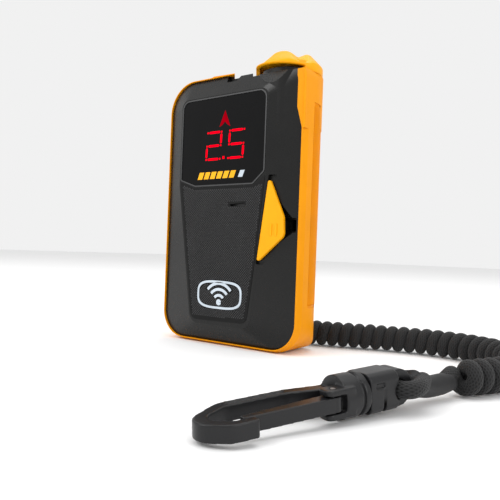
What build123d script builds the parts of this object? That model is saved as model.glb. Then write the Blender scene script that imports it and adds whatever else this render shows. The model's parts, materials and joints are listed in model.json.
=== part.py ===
from build123d import *
import math
import os

# Avalanche transceiver with a curly leash and a swivel clip.
# Millimetres. X across the front, the front face looks along -Y, Z up.
# Origin: centre of the housing, on the surface it stands on.

# ---- Driving dimensions --------------------------------------------------
WIDTH = 70.0  # housing, across the rubber bumper
HEIGHT = 112.5  # housing, without the knob
FRONT_Y = -13.5  # front plane of the display
PART_Y = -6.0  # parting line of the two shells
BELT_Y = -9.0  # where the front facets start
BACK_Y = 13.3  # back face of the rear shell
BUMPER_BACK_Y = 13.5  # back face of the bumper
LIP_Y = -9.9  # front edge of the bumper's lip
RUBBER = 1.3  # bumper thickness on the sides
WALL = 1.8  # shell wall
SHOULDER_Z = 110.1  # top of the housing between the step and the tower
STEP_X = 0.9  # where the top steps down, at the front
CORNER_R = 15.0  # rounding of the long rear edges, seen from above
LIP_DEPTH = 3.0  # bevelled front edge of the bumper
LIP_INSET = 1.0

TOWER_X = 21.0  # axis of the knob and its tower
TOWER_Y = 0.0
TOWER_R = 12.7
TOWER_TOP = 108.6
KNOB_R = 13.4
KNOB_BOTTOM = 108.9
KNOB_TOP = 117.4
SKIRT_TOP = 112.4  # where the knob starts to narrow
SHAFT_R = 3.0
FIT = 0.05  # radial running clearance

HINGE_Y = 12.4  # battery door hinge axis
HINGE_Z = 71.3
PIN_R = 0.5
DOOR_HALF = 18.8
DOOR_BOTTOM = 11.3
SCREW_Z = 14.9  # captive door screw

CELL_R = 5.25  # AAA cell
CELL_BODY = 43.5
CELL_PITCH = 11.0
CELL_BOTTOM = 21.7
CELL_Y = 6.1

TAB_TRAVEL = 3.0
TAB_TILT = 5.0  # degrees the tab leans back towards its free edge

CORD = 4.4  # leash cord diameter
COIL_OD = 10.5  # curly part, outside

CLIP_ORIGIN = (89.5, -51.5, 6.9)  # eye end of the swivel
CLIP_AXIS = (-0.39, -0.92, -0.072)  # from the eye to the hook's nose

COIL_Z = COIL_OD / 2 + 0.15
COIL_ROUTE = [
    (19.0, 19.9, COIL_Z), (34.5, 24.6, COIL_Z), (51.5, 31.4, COIL_Z), (70.0, 35.8, COIL_Z),
    (88.5, 33.6, COIL_Z), (103.0, 23.0, COIL_Z), (109.5, 6.5, COIL_Z), (106.5, -11.0, COIL_Z),
    (98.0, -26.5, COIL_Z),
]
LEAD_X = 21.6
LEAD_Y = COIL_ROUTE[0][1] - (COIL_OD - CORD) / 2
ANCHOR_Z = 12.9
os.makedirs("parts", exist_ok=True)


def save(built, name):
    built.part.label = name
    export_step(built.part, f"parts/{name}.step")


def facing(y):
    """Plane seen from the front at depth y: local x is X, local y is Z, normal is -Y."""
    return Plane.XZ.offset(-y)


def outline(plane, points, radii):
    """Flat face through corner points, each corner rounded by its own radius."""
    with BuildSketch(plane) as shape:
        with BuildLine():
            FilletPolyline(*points, radius=radii, close=True)
        make_face()
    return shape.sketch


def rect_points(left, bottom, right, top):
    return [(left, bottom), (right, bottom), (right, top), (left, top)]


def slab(points, radii, front_y, back_y):
    """Solid between two depths with one outline."""
    with BuildPart() as made:
        extrude(outline(facing(front_y), points, radii), amount=front_y - back_y)
    return made.part


def hull_between(back_face, front_face):
    with BuildPart() as made:
        loft([back_face, front_face], ruled=True)
    return made.part


def rod(x, y, z, radius, length, direction):
    """Round bar whose start is at (x, y, z) and which runs along direction."""
    with BuildPart(Plane(origin=(x, y, z), z_dir=direction)) as made:
        Cylinder(radius, length, align=(Align.CENTER, Align.CENTER, Align.MIN))
    return made.part


def block(x0, y0, z0, x1, y1, z1):
    """Box between two opposite corners."""
    with BuildPart(Plane(origin=(x0, y0, z0))) as made:
        Box(x1 - x0, y1 - y0, z1 - z0, align=(Align.MIN, Align.MIN, Align.MIN))
    return made.part


# ---- Housing envelope ----------------------------------------------------
HALF = WIDTH / 2
SIDE = HALF - RUBBER  # half width of the hard shells
SHELL_BOTTOM = RUBBER
SHELL_TOP = HEIGHT - RUBBER
SPLIT_Z = 66.0  # level of the kink in the side facets
SHELL_RADII = [11, 11, 6, 13]  # bottom left, bottom right, top right, top left
BUMPER_RADII = [12.3, 12.3, 7, 14.3]
PLATE_LEFT = -23.9  # front plane, upper part
PLATE_RIGHT = 20.6
PLATE_TOP = 102.4
PLATE_FOOT = 15.2  # half width of the front plane at its lower end
PLATE_BOTTOM = 8.6


def shell_radii(inset=0.0):
    return [max(r - inset, 1.0) for r in SHELL_RADII]


def facet_solid(inset, depth):
    """Faceted front: upper and lower loft from the belt outline to the front plane."""
    left, right = -SIDE + inset, SIDE - inset
    bottom, top = SHELL_BOTTOM + inset, SHELL_TOP - inset
    low, high = 11 - inset, 13 - inset
    sharp = 0
    belt_up = [(left, SPLIT_Z), (right, SPLIT_Z), (right, top), (left, top)]
    belt_low = [(left, bottom), (right, bottom), (right, SPLIT_Z), (left, SPLIT_Z)]
    plate_l, plate_r = PLATE_LEFT + inset, PLATE_RIGHT - inset
    plate_t, plate_b = PLATE_TOP - inset, PLATE_BOTTOM + inset
    foot = PLATE_FOOT - inset
    front_up = [(plate_l, SPLIT_Z), (plate_r, SPLIT_Z), (plate_r, plate_t), (plate_l, plate_t)]
    front_low = [(-foot, plate_b), (foot, plate_b), (plate_r, SPLIT_Z), (plate_l, SPLIT_Z)]
    radii_up = [sharp, sharp, 6, high]
    radii_low = [low, low, sharp, sharp]
    belt, front = facing(BELT_Y + depth), facing(FRONT_Y + depth)
    upper = hull_between(
        outline(belt, belt_up, radii_up), outline(front, front_up, [sharp, sharp, 3.5, 3.5])
    )
    lower = hull_between(
        outline(belt, belt_low, radii_low), outline(front, front_low, [4.5, 4.5, sharp, sharp])
    )
    return upper, lower


def body_points(inset=0.0):
    return rect_points(-SIDE + inset, SHELL_BOTTOM + inset, SIDE - inset, SHELL_TOP - inset)


def shoulder_cut():
    """Room above the shoulder, behind a slanting step, and above the tower."""
    with BuildPart() as made:
        with BuildSketch(Plane.XY.offset(SHOULDER_Z)):
            with BuildLine():
                Polyline((STEP_X, -40), (STEP_X, LIP_Y), (STEP_X - 24, 22), (60, 22), (60, -40), close=True)
            make_face()
        extrude(amount=30)
        add(block(TOWER_X, -40, TOWER_TOP, 60, 40, 140))
        add(rod(TOWER_X, TOWER_Y, TOWER_TOP, 14.6, 30, (0, 0, 1)))
    return made.part


def rounded_box(inset, front_y, back_y, corner, edge):
    """Housing behind front_y with rounded long rear edges and rounded ends."""
    left, right = -HALF + inset, HALF - inset
    across = rect_points(left, front_y, right, back_y)
    tall = [(front_y, inset), (back_y, inset), (back_y, HEIGHT - inset), (front_y, HEIGHT - inset)]
    with BuildPart() as made:
        extrude(outline(Plane.XY, across, [0, 0, corner, corner]), amount=HEIGHT)
        with BuildSketch(Plane.YZ.offset(-HALF), mode=Mode.PRIVATE) as side:
            with BuildLine():
                FilletPolyline(*tall, radius=[0, edge, edge, 0], close=True)
            make_face()
        extrude(side.sketch, amount=WIDTH, mode=Mode.INTERSECT)
        add(slab(rect_points(left, inset, right, HEIGHT - inset), [max(r - inset, 1.0) for r in BUMPER_RADII],
                 front_y, back_y), mode=Mode.INTERSECT)
    return made.part


def tower(radius, top):
    return rod(TOWER_X, TOWER_Y, 88, radius, top - 88, (0, 0, 1))


# ---- Front: display, grip panel and search tab layout --------------------
DISPLAY = [(-22.9, 68.4), (-14.9, 65.7), (14.5, 65.7), (19.6, 70.2), (19.6, 101.4), (-22.9, 101.4)]
DISPLAY_RADII = [0.8, 1.5, 1.5, 1.5, 3.2, 3.2]
FRAME_EDGE = [(-23.4, 68.1), (-15.0, 65.2), (14.7, 65.2), (20.1, 70.0), (20.1, 101.9), (-23.4, 101.9)]
FRAME_RADII = [1.2, 2.0, 2.0, 2.0, 3.7, 3.7]
PANEL = [(-14.6, 10.0), (14.0, 10.6), (16.8, 33.5), (20.4, 68.8), (14.9, 64.7), (-15.1, 64.7), (-23.2, 67.4)]
PANEL_RADII = [3.4, 3.4, 6.0, 0.4, 1.5, 1.5, 0.4]
TAB = [(17.7, 34.4), (29.3, 45.2), (28.9, 52.4), (21.9, 68.2)]
TAB_RADII = [0.7, 3.2, 3.2, 0.7]
TAB_PLATE = 1.5
SLOT_Z = 57.4  # sound slot in the grip panel

tab_plane = Plane(
    origin=(19, -13.7, 0),
    x_dir=(math.cos(math.radians(TAB_TILT)), math.sin(math.radians(TAB_TILT)), 0),
    z_dir=(math.sin(math.radians(TAB_TILT)), -math.cos(math.radians(TAB_TILT)), 0),
)


def tab_points(grow=0.0):
    """Search tab outline in the tab's own leaning plane."""
    middle_x, middle_z = 24.0, 50.0
    spread = 1 + grow / 6.0
    tall = 1 + grow / 17.0
    return [
        ((middle_x + (x - middle_x) * spread - 19), middle_z + (z - middle_z) * tall) for x, z in TAB
    ]


def tab_bed(grow):
    """Outline that the tab sweeps when it slides to the right."""
    low, mid_low, mid_high, high = tab_points(grow)
    moved = [(x + TAB_TRAVEL, z) for x, z in (low, mid_low, mid_high, high)]
    return [low, *moved, high]


# ---- Tower details shared by the shells and the bumper -------------------
SHOULDER_FLOOR = 106.8  # underside of the thick shoulder
BED_LEFT = 16.2  # left side of the solid bed under the search tab


def tower_bore():
    """Room for the switch, and the narrower seat of the collar above it."""
    with BuildPart() as made:
        add(rod(TOWER_X, TOWER_Y, 78, 10.9, TOWER_TOP - 2.5 - 78, (0, 0, 1)))
        add(rod(TOWER_X, TOWER_Y, 98, 8.1, 20, (0, 0, 1)))
    return made.part


def facet_wedge():
    """Sloped cut across the front of the tower's top edge."""
    with BuildPart() as made:
        with BuildSketch(Plane.YZ.offset(4)):
            with BuildLine():
                Polyline((-30, 104.0), (-12.7, 104.0), (-10.9, TOWER_TOP), (-10.9, 130), (-30, 130),
                         close=True)
            make_face()
        extrude(amount=28)
    return made.part


def tower_wrap():
    """Front part of the bumper beside the tower, narrowing downwards."""
    edge = [(31.0, 95.5), (SIDE, 86.0), (40, 86.0), (40, 130), (31.0, 130)]
    return slab(edge, [0.5] * 5, LIP_Y + 0.1, PART_Y) & rounded_box(0, LIP_Y, BUMPER_BACK_Y, CORNER_R, 8.0)


# ---- Front shell ---------------------------------------------------------
screw_spots = [(-21.2, 14.0), (21.2, 26.0), (-21.2, 96.5), (5.0, 98.0)]
front_boss = [5.0, 5.0, 5.7, 5.9]  # boss heights that reach the sloped front wall

with BuildPart() as front_full:
    for half in facet_solid(0, 0):
        add(half)
    add(slab(body_points(), shell_radii(), BELT_Y, PART_Y))

with BuildPart() as front_shell:
    add(front_full.part)
    add(tower(TOWER_R, TOWER_TOP) & block(0, -20, 80, 40, PART_Y, 130))
    # hollow inside
    for half in facet_solid(WALL, WALL + 0.1):
        add(half, mode=Mode.SUBTRACT)
    add(slab(body_points(WALL), shell_radii(WALL), BELT_Y + WALL, PART_Y), mode=Mode.SUBTRACT)
    # thick shoulder, solid bed under the search tab, and the tower
    add(front_full.part & block(-10, -20, SHOULDER_FLOOR, 60, PART_Y, 130))
    add(front_full.part & block(BED_LEFT, -20, 31.5, 60, PART_Y, 71))
    add(shoulder_cut(), mode=Mode.SUBTRACT)
    add(tower(TOWER_R, TOWER_TOP) & block(0, -20, 96, 40, PART_Y, 130))
    # the top facet carries on across the tower's front edge
    add(facet_wedge(), mode=Mode.SUBTRACT)
    add(tower_bore(), mode=Mode.SUBTRACT)
    add(tower_wrap(), mode=Mode.SUBTRACT)
    # display pocket and its opening
    add(slab(FRAME_EDGE, FRAME_RADII, -15, -12.1), mode=Mode.SUBTRACT)
    add(block(-14.5, -13, 72.5, 14.5, -8, 95.3), mode=Mode.SUBTRACT)
    # grip panel pocket, sound slot behind it
    add(slab(PANEL, PANEL_RADII, -15, -12.6), mode=Mode.SUBTRACT)
    add(block(2.6, -13, SLOT_Z - 1, 11.6, -9, SLOT_Z + 1), mode=Mode.SUBTRACT)
    # search tab bed, finger recess with sloped ends, and the carrier's slot
    extrude(outline(tab_plane, tab_bed(0.35), [0.7, 0.7, 3.2, 3.2, 0.7, 0.7]), amount=-TAB_PLATE - 0.35,
            mode=Mode.SUBTRACT)
    add(
        hull_between(
            outline(facing(-14.2), [(17.2, 32.6), (33.3, 45.0), (33.0, 53.6), (21.6, 70.0)], [0.5] * 4),
            outline(facing(-8.6), [(19.2, 42.0), (30.6, 46.6), (30.4, 52.0), (21.6, 57.0)], [0.5] * 4),
        ),
        mode=Mode.SUBTRACT,
    )
    add(block(21.8, -14, 46.6, 32.6, -7.8, 52.2), mode=Mode.SUBTRACT)
    add(block(22.3, -10, 47.2, 32.0, -5, 51.6), mode=Mode.SUBTRACT)
    # small notch in the top edge
    add(slab([(-3.0, 110.8), (-2.2, 108.0), (2.8, 108.0), (4.4, 110.8), (4.4, 114), (-3.0, 114)], [0.3] * 6,
             -15, -7.6), mode=Mode.SUBTRACT)
    # screw bosses
    for (x, z), tall in zip(screw_spots, front_boss):
        add(rod(x, PART_Y, z, 2.5, tall, (0, -1, 0)))
        add(rod(x, PART_Y, z, 1.1, 4.0, (0, -1, 0)), mode=Mode.SUBTRACT)
save(front_shell, "front_shell")


# ---- Rear shell ----------------------------------------------------------
WINDOW = rect_points(-23.6, 9.5, 23.6, 101)  # black back panel inside the bumper
WINDOW_RADII = [5, 5, 5, 5]
REAR_Y = 9.5  # back of the rear shell under the bumper
BAY = (17.0, 20.0, 67.0)  # half width, bottom and top of the battery opening

# grey eyelet that holds the leash
with BuildPart() as leash_anchor:
    add(block(19.6, BACK_Y, ANCHOR_Z, 24.6, LEAD_Y + 3.0, ANCHOR_Z + 3.3))
    fillet(leash_anchor.edges().filter_by(Axis.Z).sort_by(Axis.Y)[-2:], 2.2)
    add(block(19.6, BACK_Y - 2.4, ANCHOR_Z - 0.6, 24.9, BACK_Y + 0.7, ANCHOR_Z + 6.0))
    add(rod(LEAD_X, LEAD_Y, ANCHOR_Z - 4, CORD / 2, 5.2, (0, 0, 1)), mode=Mode.SUBTRACT)
save(leash_anchor, "leash_anchor")

with BuildPart() as housing_gasket:
    add(slab(body_points(0.5), shell_radii(0.5), PART_Y, PART_Y + 0.5)
        - slab(body_points(1.3), shell_radii(1.3), PART_Y - 1, PART_Y + 2))
    add(block(STEP_X - 3, -20, 104, 40, 20, 130), mode=Mode.SUBTRACT)
save(housing_gasket, "housing_gasket")

rear_box = rounded_box(RUBBER, PART_Y, REAR_Y, 11.0, 6.4) & slab(body_points(), shell_radii(), PART_Y, 20)
rear_room = (rounded_box(RUBBER + WALL, PART_Y, REAR_Y - 2.0, 9.2, 4.6)
             & slab(body_points(WALL), shell_radii(WALL), PART_Y, 20))

with BuildPart() as rear_shell:
    add(rear_box)
    add(tower(TOWER_R, TOWER_TOP) & block(0, PART_Y, 80, 40, 20, 130))
    add(rear_room, mode=Mode.SUBTRACT)
    add(rear_box & block(-10, PART_Y, SHOULDER_FLOOR, 60, 20, 130))
    add(tower(TOWER_R, TOWER_TOP) & block(0, PART_Y, 98, 40, 20, 130))
    add(slab(WINDOW, WINDOW_RADII, 7.0, BACK_Y))
    add(shoulder_cut(), mode=Mode.SUBTRACT)
    add(tower_bore(), mode=Mode.SUBTRACT)
    add(housing_gasket.part, mode=Mode.SUBTRACT)
    add(leash_anchor.part, mode=Mode.SUBTRACT)
    # lighter back wall above the batteries
    add(block(-23, 6.5, 76, 9, 11.4, 96), mode=Mode.SUBTRACT)
    # battery opening, door recess, room for the door's boss and for its hinge
    add(block(-BAY[0], 5, BAY[1], BAY[0], 12.5, BAY[2]), mode=Mode.SUBTRACT)
    add(slab(rect_points(-DOOR_HALF - 0.3, DOOR_BOTTOM - 0.3, DOOR_HALF + 0.3, 70.5), [2.3, 2.3, 0.5, 0.5],
             12.0, 15), mode=Mode.SUBTRACT)
    add(rod(0, 9.6, SCREW_Z, 3.9, 5, (0, 1, 0)), mode=Mode.SUBTRACT)
    add(rod(0, 5.5, SCREW_Z, 1.8, 5, (0, 1, 0)), mode=Mode.SUBTRACT)
    add(block(-8.4, 10.9, 69.5, 8.4, 15, 72.8), mode=Mode.SUBTRACT)
    add(rod(-12.4, HINGE_Y, HINGE_Z, PIN_R, 24.8, (1, 0, 0)), mode=Mode.SUBTRACT)
    # groove for the door seal
    add(slab(rect_points(-18.4, 18.9, 18.4, 68.4), [1.5] * 4, 11.3, 12.5)
        - slab(rect_points(-17.6, 19.6, 17.6, 67.6), [1.0] * 4, 11.3, 12.5), mode=Mode.SUBTRACT)
    # screw bosses with counterbores from the back
    for x, z in screw_spots:
        add(rod(x, PART_Y, z, 2.5, 14.0, (0, 1, 0)))
        add(rod(x, PART_Y, z, 1.3, 25.0, (0, 1, 0)), mode=Mode.SUBTRACT)
        add(rod(x, 11.3, z, 2.2, 5.0, (0, 1, 0)), mode=Mode.SUBTRACT)
save(rear_shell, "rear_shell")

# ---- Rubber bumper -------------------------------------------------------
BUMPER_TOWER_R = 13.7

GRIP_DEEP = 0.7  # thickness of the ribbed strips
GRIP_FRONT_Y = -3.0
GRIP_BACK_Y = 6.5
GRIP_BOTTOM = 18.0
full_outline = rect_points(-HALF, 0, HALF, HEIGHT)
lip_outline = rect_points(LIP_INSET - HALF, LIP_INSET, HALF - LIP_INSET, HEIGHT - LIP_INSET)

with BuildPart() as bumper_body:
    add(rounded_box(0, LIP_Y + LIP_DEPTH, BUMPER_BACK_Y, CORNER_R, 8.0))
    add(hull_between(outline(facing(LIP_Y + LIP_DEPTH), full_outline, BUMPER_RADII),
                     outline(facing(LIP_Y), lip_outline, [r - LIP_INSET for r in BUMPER_RADII])))

grip_floor = rounded_box(GRIP_DEEP, LIP_Y, BUMPER_BACK_Y - GRIP_DEEP, CORNER_R - GRIP_DEEP, 8.0)
grip_skin = bumper_body.part - grip_floor
right_grip = grip_skin & block(20, GRIP_FRONT_Y, GRIP_BOTTOM, 40, GRIP_BACK_Y, 97)
left_grip = grip_skin & block(-40, GRIP_FRONT_Y, GRIP_BOTTOM, -20, GRIP_BACK_Y, 92)

with BuildPart() as side_bumper:
    add(bumper_body.part)
    add(slab(body_points(), shell_radii(), -20, PART_Y), mode=Mode.SUBTRACT)
    add(tower_wrap())
    add(shoulder_cut(), mode=Mode.SUBTRACT)
    add(tower(BUMPER_TOWER_R, TOWER_TOP - 0.2) & block(0, PART_Y, 80, 40, 20, 130))
    add(rear_box, mode=Mode.SUBTRACT)
    add(tower(TOWER_R, 130), mode=Mode.SUBTRACT)
    add(slab(WINDOW, WINDOW_RADII, 7.0, 20), mode=Mode.SUBTRACT)
    add(leash_anchor.part, mode=Mode.SUBTRACT)
    # ribbed grip strips are let into the rear corners
    add(right_grip, mode=Mode.SUBTRACT)
    add(left_grip, mode=Mode.SUBTRACT)
save(side_bumper, "side_bumper")

for name, strip in [("right_grip_strip", right_grip), ("left_grip_strip", left_grip)]:
    with BuildPart() as grip_strip:
        add(strip)
    save(grip_strip, name)

# thick rubber pad on the top edge
with BuildPart() as top_pad:
    add(slab([(-14.2, HEIGHT), (-12.6, HEIGHT + 0.6), (0.2, HEIGHT + 0.2), (0.2, HEIGHT)],
             [0.1, 0.6, 0.15, 0.05], LIP_Y + LIP_DEPTH, 2.0))
    add(shoulder_cut(), mode=Mode.SUBTRACT)
save(top_pad, "top_pad")

# ---- Front inlays --------------------------------------------------------
with BuildPart() as display_frame:
    add(slab(FRAME_EDGE, FRAME_RADII, -13.75, -12.1) - slab(DISPLAY, DISPLAY_RADII, -14, -12))
save(display_frame, "display_frame")

with BuildPart() as display_window:
    add(slab(DISPLAY, DISPLAY_RADII, -13.4, -12.1))
save(display_window, "display_window")

with BuildPart() as grip_panel:
    add(slab(PANEL, PANEL_RADII, -13.65, -12.6))
    add(slab([(4.4, SLOT_Z - 0.65), (11.3, SLOT_Z - 0.65), (11.3, SLOT_Z + 0.65), (3.6, SLOT_Z + 0.1)],
             [0.1] * 4, -15, -12), mode=Mode.SUBTRACT)
save(grip_panel, "grip_panel")

# ---- Search tab: cap, carrier, magnet ------------------------------------
with BuildPart() as search_tab:
    extrude(outline(tab_plane, tab_points(), TAB_RADII), amount=-TAB_PLATE)
    fillet(search_tab.faces().sort_by(Axis.Y)[0].edges(), 0.45)
    for shift in (-1.1, 1.1):
        with BuildSketch(tab_plane):
            with Locations((5.9 + shift, 47.6)):
                SlotOverall(4.6, 0.9, rotation=90)
        extrude(amount=0.3)
save(search_tab, "search_tab")

with BuildPart() as tab_carrier:
    add(block(23.0, -11.9, 47.6, 27.4, -4.6, 51.2))
    add(block(21.6, -5.6, 45.6, 28.6, -4.0, 53.2))
    extrude(outline(tab_plane.offset(-TAB_PLATE), tab_points(), TAB_RADII), amount=3, mode=Mode.SUBTRACT)
    add(block(23.4, -5.2, 48.0, 26.4, -4.0, 51.0), mode=Mode.SUBTRACT)
save(tab_carrier, "tab_carrier")

with BuildPart() as tab_magnet:
    add(block(23.4, -5.2, 48.0, 26.4, -4.0, 51.0))
save(tab_magnet, "tab_magnet")

# ---- Knob and switch -----------------------------------------------------
def knob_profile():
    with BuildSketch(Plane.XZ) as half:
        with BuildLine():
            Polyline(
                (0, KNOB_TOP - 3.6), (9.0, KNOB_TOP - 3.6), (12.0, SKIRT_TOP - 0.8), (12.0, KNOB_BOTTOM),
                (KNOB_R, KNOB_BOTTOM), (KNOB_R, SKIRT_TOP), (8.6, KNOB_TOP), (6.4, KNOB_TOP),
                (5.8, KNOB_TOP - 0.8), (0, KNOB_TOP - 0.8), close=True,
            )
        make_face()
    return half.sketch


with BuildPart() as knob_turned:
    revolve(knob_profile(), Axis.Z)
    rims = knob_turned.edges().filter_by(GeomType.CIRCLE).group_by(Axis.Z)
    fillet(rims[-1].sort_by(SortBy.RADIUS)[-1], 0.9)
    fillet(knob_turned.edges().filter_by(lambda e: e.geom_type == GeomType.CIRCLE
           and abs(e.radius - KNOB_R) < 0.01 and e.center().Z > KNOB_BOTTOM + 1), 0.8)

VALLEYS = [-34 + 90 * k for k in range(4)]
with BuildPart() as power_knob:
    add(Pos(TOWER_X, TOWER_Y, 0) * knob_turned.part)
    add(rod(TOWER_X, TOWER_Y, TOWER_TOP + 2.2, 4.4, 4.0, (0, 0, 1)))
    add(rod(TOWER_X, TOWER_Y, TOWER_TOP + 2.0, SHAFT_R, 5.0, (0, 0, 1)), mode=Mode.SUBTRACT)
    for turn in VALLEYS:
        a = math.radians(turn)
        tilt = (math.cos(a), math.sin(a), -0.7)
        start = (TOWER_X + 5.0 * math.cos(a), TOWER_Y + 5.0 * math.sin(a), KNOB_TOP + 3.9)
        add(rod(*start, 3.0, 10, tilt), mode=Mode.SUBTRACT)
    # window in the skirt, towards the front
    with BuildSketch(Plane.XY.offset(KNOB_BOTTOM - 1)):
        with BuildLine():
            window_from, window_to = math.radians(-146), math.radians(-41)
            mid = math.radians(-93)
            far = 24
            Polyline(
                (TOWER_X, TOWER_Y),
                (TOWER_X + far * math.cos(window_from), TOWER_Y + far * math.sin(window_from)),
                (TOWER_X + far * math.cos(mid), TOWER_Y + far * math.sin(mid)),
                (TOWER_X + far * math.cos(window_to), TOWER_Y + far * math.sin(window_to)),
                close=True,
            )
        make_face()
    extrude(amount=3.2, mode=Mode.SUBTRACT)
save(power_knob, "power_knob")

SWITCH_TOP = TOWER_TOP - 6.3
CAM_BOTTOM = TOWER_TOP - 5.1
CAM_NOTCH = 5.9  # radius on which the detent notches sit

with BuildPart() as knob_shaft:
    add(rod(TOWER_X, TOWER_Y, SWITCH_TOP - 6.6, SHAFT_R, 17.0, (0, 0, 1)))
save(knob_shaft, "knob_shaft")

with BuildPart() as switch_cam:
    add(rod(TOWER_X, TOWER_Y, CAM_BOTTOM, 5.6, 1.4, (0, 0, 1)))
    add(rod(TOWER_X, TOWER_Y, CAM_BOTTOM - 1, SHAFT_R, 4, (0, 0, 1)), mode=Mode.SUBTRACT)
    for turn in (0, 90):
        a = math.radians(turn)
        add(rod(TOWER_X + CAM_NOTCH * math.cos(a), TOWER_Y + CAM_NOTCH * math.sin(a), CAM_BOTTOM - 1, 0.9, 4,
                (0, 0, 1)), mode=Mode.SUBTRACT)
save(switch_cam, "switch_cam")

with BuildPart() as tower_collar:
    add(rod(TOWER_X, TOWER_Y, TOWER_TOP - 3.3, 8.1, 5.0, (0, 0, 1)))
    add(rod(TOWER_X, TOWER_Y, TOWER_TOP, 10.8, 1.7, (0, 0, 1)))
    add(rod(TOWER_X, TOWER_Y, TOWER_TOP - 4, SHAFT_R + FIT, 8, (0, 0, 1)), mode=Mode.SUBTRACT)
    add(rod(TOWER_X, TOWER_Y, TOWER_TOP - 1.5, 4.6, 1.4, (0, 0, 1)), mode=Mode.SUBTRACT)
save(tower_collar, "tower_collar")

with BuildPart() as knob_seal:
    with Locations((TOWER_X, TOWER_Y, TOWER_TOP - 0.8)):
        Torus(3.9, 0.7)
save(knob_seal, "knob_seal")

with BuildPart() as rotary_switch:
    add(block(TOWER_X - 8, -4.2, SWITCH_TOP - 8.6, TOWER_X + 8, 6.5, SWITCH_TOP))
    add(rod(TOWER_X, TOWER_Y, SWITCH_TOP - 10, SHAFT_R + FIT, 12, (0, 0, 1)), mode=Mode.SUBTRACT)
save(rotary_switch, "rotary_switch")

with BuildPart() as detent_spring:
    add(rod(TOWER_X + CAM_NOTCH + 0.35, TOWER_Y, SWITCH_TOP, 0.55, 2.6, (0, 0, 1)))
    add(block(TOWER_X + 6.6, -3.5, SWITCH_TOP, TOWER_X + 7.0, 3.5, SWITCH_TOP + 2.6))
save(detent_spring, "detent_spring")


# ---- Seals, screws and electronics ---------------------------------------
with BuildPart() as housing_screws:
    for x, z in screw_spots:
        add(rod(x, -8.5, z, 1.1, 19.8, (0, 1, 0)))
        add(rod(x, 11.3, z, 2.1, 1.5, (0, 1, 0)) - block(x - 3, 12.3, z - 0.3, x + 3, 15, z + 0.3)
            - block(x - 0.3, 12.3, z - 3, x + 0.3, 15, z + 3))
save(housing_screws, "housing_screws")

BOARD_Y = -5.6
with BuildPart() as circuit_board:
    add(slab(rect_points(-30.5, 6, 19.5, 96), [4] * 4, BOARD_Y, BOARD_Y + 1.4))
    for x, z in screw_spots:
        add(rod(x, -8, z, 2.9, 6, (0, 1, 0)), mode=Mode.SUBTRACT)
save(circuit_board, "circuit_board")

with BuildPart() as board_components:
    add(block(-10, BOARD_Y - 1.2, 12, -1, BOARD_Y, 21))
    add(block(-27, BOARD_Y - 1.0, 40, -21, BOARD_Y, 46))
    add(block(-27, BOARD_Y - 1.4, 56, -19, BOARD_Y, 62))
    add(block(3, BOARD_Y - 0.9, 12, 10, BOARD_Y, 17))
    add(block(13.5, BOARD_Y - 0.8, 18, 17.5, BOARD_Y, 25))
    add(rod(-14, BOARD_Y, 30, 2.5, 3.6, (0, -1, 0)))
    add(rod(-7, BOARD_Y, 30, 2.5, 3.6, (0, -1, 0)))
save(board_components, "board_components")

with BuildPart() as led_display:
    add(block(-13, -12.0, 73.5, 13, BOARD_Y, 95.2))
save(led_display, "led_display")

with BuildPart() as speaker:
    add(rod(3.5, BOARD_Y, 50, 10.0, 2.6, (0, -1, 0)))
    add(rod(3.5, BOARD_Y - 2.6, 50, 8.2, 2.2, (0, -1, 0)))
    add(rod(3.5, BOARD_Y - 4.2, 50, 6.4, 2.2, (0, -1, 0)), mode=Mode.SUBTRACT)
save(speaker, "speaker")

with BuildPart() as speaker_mesh:
    add(block(2.2, -11.4, SLOT_Z - 1.6, 12.0, -10.9, SLOT_Z + 1.6))
save(speaker_mesh, "speaker_mesh")


def antenna(x, y, z, radius, length, direction, margin, thickness):
    """Ferrite rod and the copper winding round its middle."""
    d = Vector(*direction)
    core = rod(x, y, z, radius, length, direction)
    a = Vector(x, y, z) + d * margin
    sleeve = rod(a.X, a.Y, a.Z, radius + thickness, length - 2 * margin, direction)
    return core, sleeve - core


ANTENNAS = [
    ("main_antenna", (-26.9, 1.0, 22), 3.3, 68, (0, 0, 1), 8),
    ("cross_antenna", (-19.5, 2.0, 84), 3.3, 28, (1, 0, 0), 4),
    ("depth_antenna", (-9.0, -3.9, 101.5), 3.6, 10.2, (0, 1, 0), 2),
]
for name, at, radius, length, direction, margin in ANTENNAS:
    core, winding = antenna(*at, radius, length, direction, margin, 0.6)
    with BuildPart() as antenna_rod:
        add(core)
    save(antenna_rod, name + "_rod")
    with BuildPart() as antenna_winding:
        add(winding)
    save(antenna_winding, name + "_winding")

# ---- Battery bay ---------------------------------------------------------
with BuildPart() as battery_tray:
    add(block(-16.95, -0.6, 20.05, 16.95, 11.2, 66.95))
    add(block(-16.4, 0.4, 21.0, 16.4, 12, 66.6), mode=Mode.SUBTRACT)
    for x in (-CELL_PITCH / 2, CELL_PITCH / 2):
        add(block(x - 0.2, 0.4, 30, x + 0.2, 3.0, 56))
save(battery_tray, "battery_tray")

with BuildPart() as battery_cells:
    for x in (-CELL_PITCH, 0, CELL_PITCH):
        add(rod(x, CELL_Y, CELL_BOTTOM, CELL_R, CELL_BODY, (0, 0, 1)))
        add(rod(x, CELL_Y, CELL_BOTTOM, 1.9, CELL_BODY + 0.9, (0, 0, 1)))
save(battery_cells, "battery_cells")

with BuildPart() as battery_contacts:
    top = CELL_BOTTOM + CELL_BODY + 0.9
    for x in (-CELL_PITCH, 0, CELL_PITCH):
        add(block(x - 4, 2.6, top, x + 4, 9.6, top + 0.4))
        add(block(x - 4, 2.6, 21.0, x + 4, 9.6, 21.3))
        add(rod(x, CELL_Y, 21.3, 2.6, CELL_BOTTOM - 21.3, (0, 0, 1)) - rod(x, CELL_Y, 20, 1.8, 5, (0, 0, 1)))
save(battery_contacts, "battery_contacts")

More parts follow.
